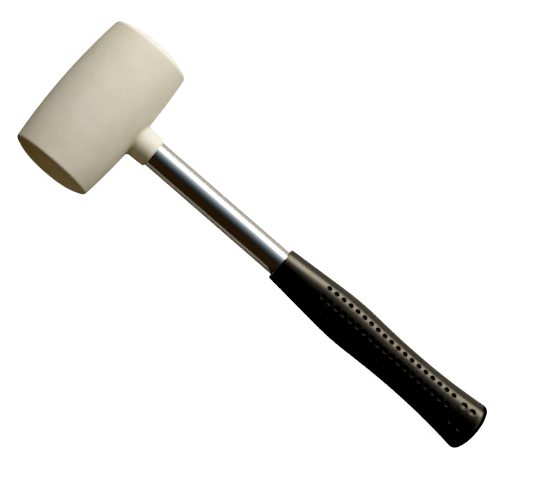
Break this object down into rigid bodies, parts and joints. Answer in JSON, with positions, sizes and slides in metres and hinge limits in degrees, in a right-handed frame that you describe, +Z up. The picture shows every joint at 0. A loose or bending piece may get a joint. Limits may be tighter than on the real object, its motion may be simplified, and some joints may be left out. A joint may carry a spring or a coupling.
{
  "type": "rubber mallet",
  "caption": "Rubber mallet with a white barrel head, a chromed tubular handle and a black dimpled rubber grip, lying on its side.",
  "frame": {"origin": "middle of the underside of the bounding box of the mallet as it lies on its side", "axes": "+X from the head towards the butt of the grip, +Y along the head from one striking face to the other, +Z up; the handle slopes down by 2.6 degrees from the head to the grip, because the head is thicker than the grip"},
  "size_m": [0.3384, 0.1038, 0.061],
  "materials": {
    "white_rubber": "matt, slightly uneven moulded rubber",
    "chromed_steel": "bright chrome plate",
    "hardwood": "sawn end grain",
    "black_rubber": "satin moulded rubber",
    "black_plastic": "moulded"
  },
  "bodies": {
    "root": {"rubber_head": "white_rubber", "handle_tube": "chromed_steel", "core_dowel": "hardwood", "grip_sleeve": "black_rubber", "tube_end_plug": "black_plastic"}
  },
  "joints": []
}
